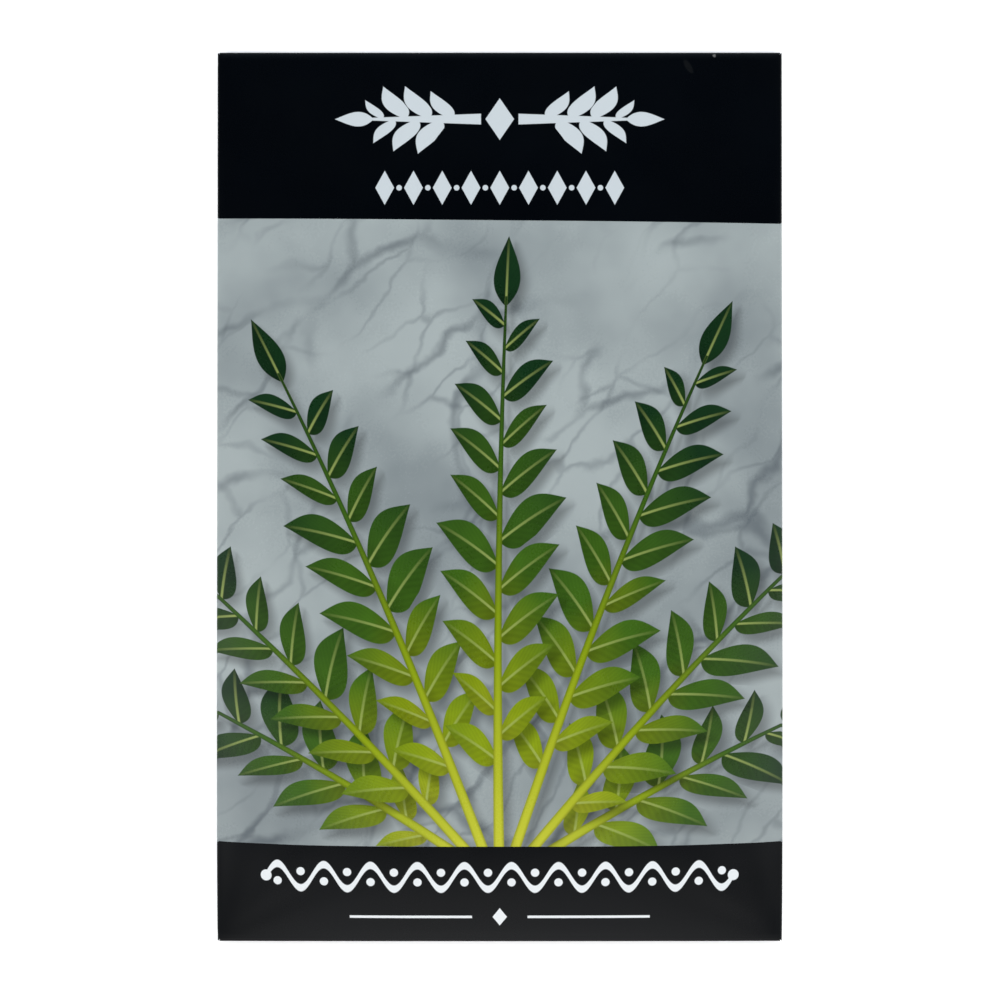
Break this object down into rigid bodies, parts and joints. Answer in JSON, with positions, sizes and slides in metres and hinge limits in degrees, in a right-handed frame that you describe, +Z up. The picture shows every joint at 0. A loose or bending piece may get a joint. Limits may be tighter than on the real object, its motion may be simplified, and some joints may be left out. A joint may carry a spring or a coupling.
{
  "type": "seed packet",
  "caption": "Flat paper seed packet lying on its back: one folded, glued sheet with a side seam and end flaps, its lower front bulged by the loose seeds inside.",
  "frame": {"origin": "under the middle of the packet, on the surface that it lies on", "axes": "+Y towards the packet's top edge, +X to the right as its printed front is read, +Z up out of the front"},
  "size_m": [0.1016, 0.16, 0.0068],
  "materials": {
    "printed_paper": "satin coated print",
    "dried_seed": "dry, ribbed, matte"
  },
  "bodies": {
    "root": {"envelope": "printed_paper", "seeds": "dried_seed"}
  },
  "joints": []
}
